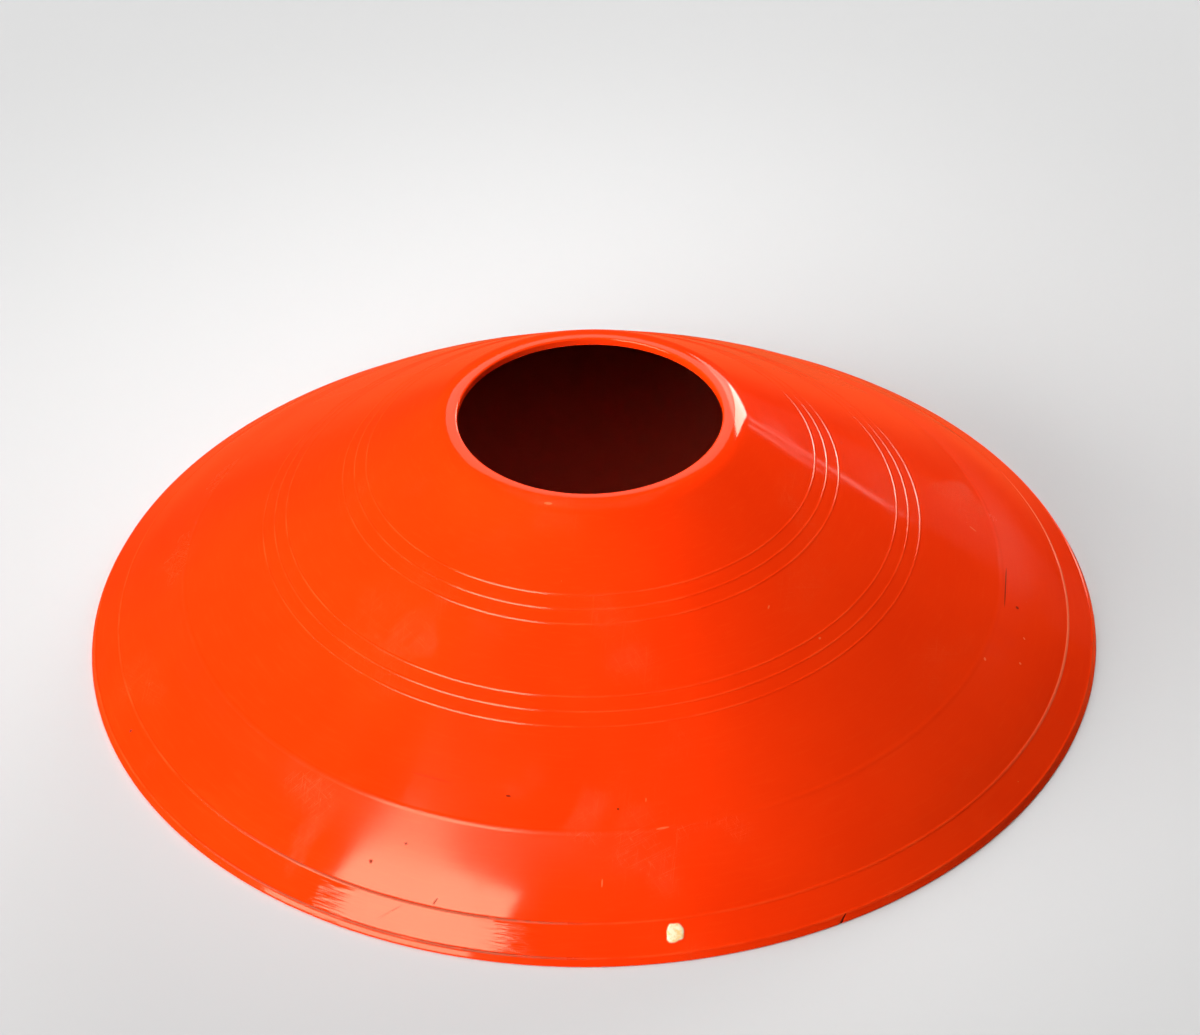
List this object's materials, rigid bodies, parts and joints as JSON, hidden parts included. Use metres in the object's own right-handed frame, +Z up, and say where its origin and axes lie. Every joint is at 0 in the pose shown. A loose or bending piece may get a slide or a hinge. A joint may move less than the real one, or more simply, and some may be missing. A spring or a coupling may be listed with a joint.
{
  "type": "sports marker cone",
  "caption": "Low saucer-type marker cone: a thin glossy orange moulded shell with a wide carrying hole, fine raised rings, a crease and a turned-down rim.",
  "frame": {"origin": "centre of the base circle, on the ground", "axes": "+Z up along the cone's axis, from the ground to the hole; the cone is round, and -Y faces the picture's camera"},
  "size_m": [0.2, 0.2, 0.0505],
  "materials": {
    "shell_plastic": "glossy orange polyethylene as moulded, lightly scuffed"
  },
  "bodies": {
    "root": {"cone_shell": "shell_plastic"}
  },
  "joints": []
}
